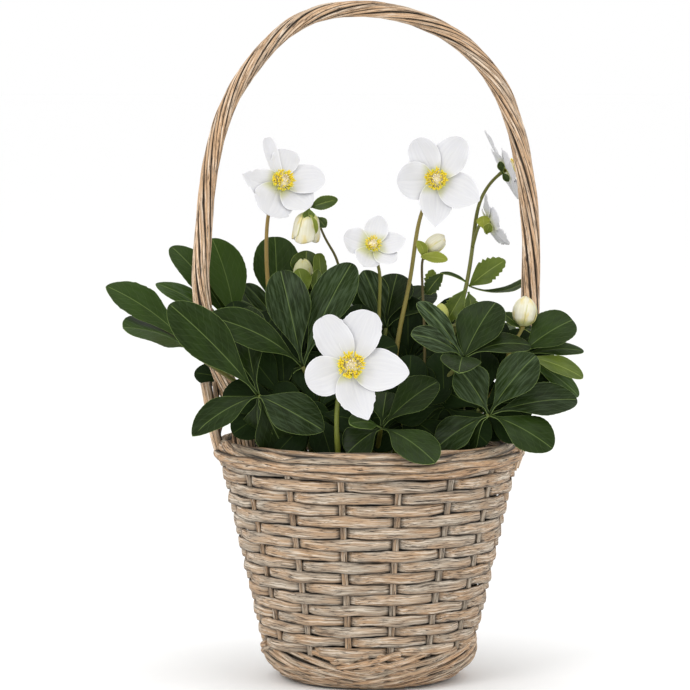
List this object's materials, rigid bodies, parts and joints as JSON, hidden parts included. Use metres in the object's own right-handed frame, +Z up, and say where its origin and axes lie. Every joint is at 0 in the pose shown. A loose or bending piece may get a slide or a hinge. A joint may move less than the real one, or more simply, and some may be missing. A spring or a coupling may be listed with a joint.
{
  "type": "hellebore plant",
  "caption": "White Christmas rose in flower, in a grow pot that stands in a round woven willow basket with a tall twisted handle.",
  "frame": {"origin": "on the ground under the middle of the basket", "axes": "+Z up, -Y towards the front, where the largest low bloom is, +X to the right"},
  "size_m": [0.3341, 0.2722, 0.4752],
  "materials": {
    "willow": "grey washed willow with fine lengthwise grain",
    "pot_plastic": "thin black moulded plastic",
    "soil": "crumbly moist peat",
    "leaf": "leathery dark green, half glossy above",
    "stem": "smooth olive green flushed with brown",
    "petal": "soft white with faint veins",
    "heart": "yellow pollen on cream filaments over yellow green nectaries",
    "bud": "cream flushed with green"
  },
  "bodies": {
    "root": {"basket_base": "willow", "basket_foot": "willow", "basket_wall": "willow", "basket_rim": "willow", "basket_handle": "willow", "grow_pot": "pot_plastic", "soil": "soil", "leaf_front_left": "leaf", "leaf_left": "leaf", "leaf_left_high": "leaf", "leaf_middle_left": "leaf", "leaf_back_left": "leaf", "leaf_middle": "leaf", "leaf_middle_right": "leaf", "leaf_front_right": "leaf", "leaf_front_middle": "leaf", "leaf_right": "leaf", "leaf_back_1": "leaf", "leaf_back_2": "leaf", "leaf_back_3": "leaf", "leaf_back_4": "leaf", "leaf_back_5": "leaf", "leaf_back_6": "leaf", "leaf_back_7": "leaf", "leaf_back_8": "leaf", "stem_front": "stem", "stem_upper_left": "stem", "stem_middle": "stem", "stem_upper_right": "stem", "stem_right": "stem", "stem_bud_hanging": "stem", "stem_bud_upper_right": "stem", "stem_bud_right": "stem", "stem_bud_left": "stem", "bloom_front_petals": "petal", "bloom_front_heart": "heart", "bloom_upper_left_petals": "petal", "bloom_upper_left_heart": "heart", "bloom_middle_petals": "petal", "bloom_middle_heart": "heart", "bloom_upper_right_petals": "petal", "bloom_upper_right_heart": "heart", "bloom_far_right_petals": "petal", "bloom_far_right_heart": "heart", "bloom_half_open_petals": "petal", "bloom_half_open_heart": "heart", "bud_hanging": "bud", "bud_upper_right": "bud", "bud_right": "bud", "bud_left": "bud", "bud_green": "bud"}
  },
  "joints": []
}
